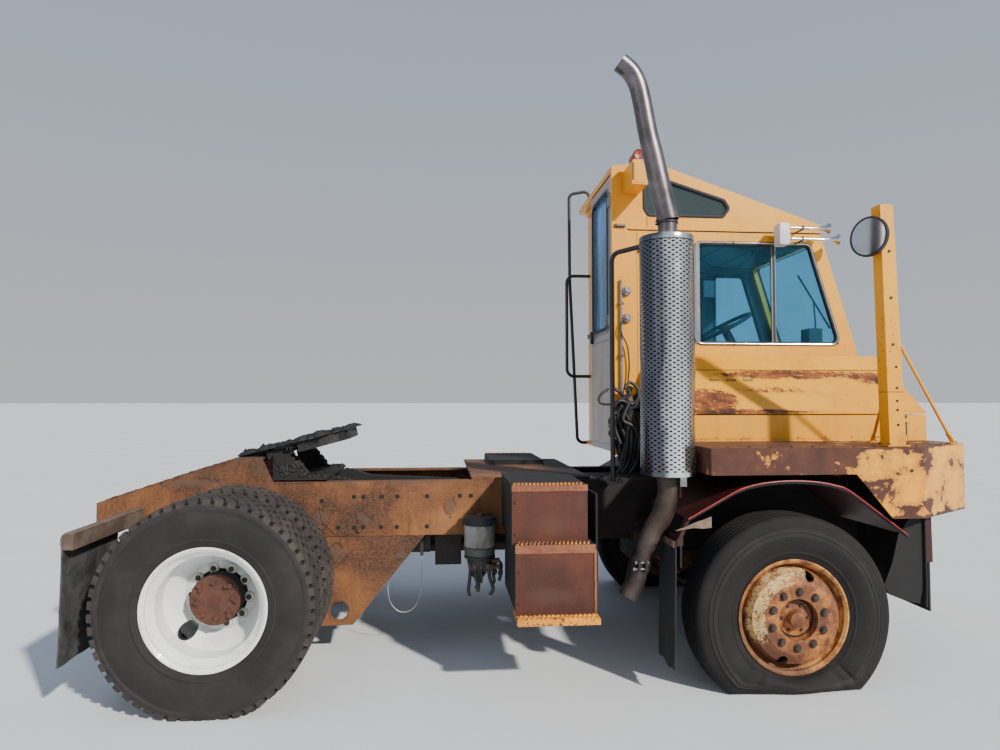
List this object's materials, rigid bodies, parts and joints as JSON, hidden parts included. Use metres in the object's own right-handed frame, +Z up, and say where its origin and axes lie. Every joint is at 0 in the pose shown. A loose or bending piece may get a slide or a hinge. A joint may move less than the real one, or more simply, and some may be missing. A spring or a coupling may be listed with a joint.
{
  "type": "terminal tractor",
  "caption": "Yard tractor with an offset tilting cab, sloped engine cover, upright muffler, twin rear wheels and a lifting coupling plate for semitrailers.",
  "frame": {"origin": "on the ground, below the middle of the overall box", "axes": "+X to the vehicle's front, +Y to its left, +Z up"},
  "size_m": [4.95, 2.451, 3.3841],
  "materials": {
    "axle_iron": "rusty",
    "black_plastic": "matte",
    "black_rubber": "matte",
    "black_tube": "satin",
    "chrome_trim": "polished",
    "clear_glass": "clear",
    "cord_steel": "dull wire",
    "dark_grease": "greasy",
    "filter_body": "dirty",
    "flaking_yellow": "flaking paint over rust",
    "hub_rust": "rusty",
    "maroon_sheet": "weathered",
    "mirror_glass": "polished",
    "muffler_steel": "perforated guard",
    "pipe_steel": "sooty",
    "rail_rust": "matte",
    "red_brown_box": "rusty",
    "rusty_rim": "rusty",
    "seat_cover": "woven",
    "tank_paint": "dirty",
    "tyre_rubber": "matte",
    "white_rim": "gloss",
    "yellow_paint": "gloss, weathered"
  },
  "bodies": {
    "chassis": {"frame_rails": "rail_rust", "crossmembers": "axle_iron", "rear_ramps": "rail_rust", "axle_hangers": "rail_rust", "rear_axle": "axle_iron", "front_axle": "axle_iron", "engine": "dark_grease", "driveline": "dark_grease", "deck": "flaking_yellow", "bumper_skirt": "flaking_yellow", "front_fenders": "maroon_sheet", "mud_flaps": "black_rubber", "hood_skirt": "yellow_paint", "muffler": "muffler_steel", "exhaust_pipes": "pipe_steel", "muffler_stand": "black_tube", "step_boxes": "red_brown_box", "rear_platform": "rail_rust", "fuel_filter": "filter_body", "air_tank": "tank_paint", "fuel_tank": "tank_paint", "drain_cord": "cord_steel", "mirror_post": "yellow_paint", "mirror": "mirror_glass"},
    "cab": {"cab_right_wall": "yellow_paint", "cab_left_wall": "yellow_paint", "cab_rear_wall": "yellow_paint", "cab_front_wall": "yellow_paint", "cab_floor": "black_plastic", "cab_roof": "yellow_paint", "cab_glass": "clear_glass", "seat": "seat_cover", "dashboard": "black_plastic", "air_horns": "chrome_trim", "work_lamp": "yellow_paint", "grab_rails": "black_tube"},
    "rear_door": {"cab_door": "yellow_paint", "door_glass": "clear_glass"},
    "hood_lid": {"engine_hood": "yellow_paint"},
    "steering_wheel_body": {"steering_wheel": "black_plastic"},
    "lift_boom": {"boom": "dark_grease"},
    "coupling_plate": {"fifth_wheel": "dark_grease"},
    "lift_barrels_body": {"lift_barrels": "axle_iron"},
    "lift_rods_body": {"lift_rods": "chrome_trim"},
    "rear_wheels_left": {"rear_tyres_left": "tyre_rubber", "rear_rims_left": "white_rim", "rear_hub_left": "hub_rust"},
    "rear_wheels_right": {"rear_tyres_right": "tyre_rubber", "rear_rims_right": "white_rim", "rear_hub_right": "hub_rust"},
    "steering_knuckle_left": {"knuckle_left": "axle_iron"},
    "steering_knuckle_right": {"knuckle_right": "axle_iron"},
    "front_wheel_left": {"front_tyre_left": "tyre_rubber", "front_rim_left": "rusty_rim"},
    "front_wheel_right": {"front_tyre_right": "tyre_rubber", "front_rim_right": "rusty_rim"},
    "tie_rod_body": {"tie_rod": "axle_iron"}
  },
  "joints": [
    {"name": "cab_tilt", "type": "hinge", "parent": "chassis", "child": "cab", "pos_m": [2.365, 0, 1.3], "axis": [0, 1, 0], "range_deg": [0, 45]},
    {"name": "rear_door_slide", "type": "slide", "parent": "cab", "child": "rear_door", "axis": [0, 1, 0], "range_m": [0, 0.38]},
    {"name": "hood_hinge", "type": "hinge", "parent": "chassis", "child": "hood_lid", "pos_m": [1.675, -0.118, 1.8], "axis": [-1, 0, 0], "range_deg": [0, 80]},
    {"name": "steering_wheel_turn", "type": "hinge", "parent": "cab", "child": "steering_wheel_body", "pos_m": [1.635, 0.45, 2.056], "axis": [-0.4802, 0, 0.8771], "range_deg": [-430, 430]},
    {"name": "boom_lift", "type": "hinge", "parent": "chassis", "child": "lift_boom", "pos_m": [-0.395, 0, 0.9], "axis": [0, 1, 0], "range_deg": [0, 20]},
    {"name": "coupling_tilt", "type": "hinge", "parent": "lift_boom", "child": "coupling_plate", "pos_m": [-1.45, 0, 1.146], "axis": [0, 1, 0], "range_deg": [0, 26]},
    {"name": "lift_barrels_swing", "type": "hinge", "parent": "chassis", "child": "lift_barrels_body", "pos_m": [-0.95, 0, 0.33], "axis": [0, 1, 0], "range_deg": [-1, 0]},
    {"name": "lift_rods_slide", "type": "slide", "parent": "lift_barrels_body", "child": "lift_rods_body", "axis": [0.0523, 0, 0.9986], "range_m": [0, 0.19]},
    {"name": "rear_left_spin", "type": "hinge", "parent": "chassis", "child": "rear_wheels_left", "pos_m": [-1.625, 0.917, 0.506], "axis": [0, 1, 0], "continuous": true},
    {"name": "rear_right_spin", "type": "hinge", "parent": "chassis", "child": "rear_wheels_right", "pos_m": [-1.625, -0.917, 0.506], "axis": [0, 1, 0], "continuous": true},
    {"name": "steer_left", "type": "hinge", "parent": "chassis", "child": "steering_knuckle_left", "pos_m": [1.321, 0.86, 0.381], "axis": [0, 0, 1], "range_deg": [-35, 35]},
    {"name": "steer_right", "type": "hinge", "parent": "chassis", "child": "steering_knuckle_right", "pos_m": [1.321, -0.86, 0.381], "axis": [0, 0, 1], "range_deg": [-35, 35]},
    {"name": "tie_rod_pivot", "type": "hinge", "parent": "steering_knuckle_left", "child": "tie_rod_body", "pos_m": [1.141, 0.86, 0.28], "axis": [0, 0, 1], "range_deg": [-35, 35]},
    {"name": "front_left_spin", "type": "hinge", "parent": "steering_knuckle_left", "child": "front_wheel_left", "pos_m": [1.321, 1.035, 0.381], "axis": [0, 1, 0], "continuous": true},
    {"name": "front_right_spin", "type": "hinge", "parent": "steering_knuckle_right", "child": "front_wheel_right", "pos_m": [1.321, -1.035, 0.381], "axis": [0, 1, 0], "continuous": true}
  ],
  "couplings": [
    {"joint": "steer_right", "follows": "steer_left", "ratio": 1},
    {"joint": "tie_rod_pivot", "follows": "steer_left", "ratio": -1},
    {"joint": "steering_wheel_turn", "follows": "steer_left", "ratio": 12},
    {"joint": "lift_barrels_swing", "follows": "boom_lift", "ratio": -0.0415},
    {"joint": "lift_rods_slide", "follows": "boom_lift", "m_per_rad": 0.5349}
  ]
}
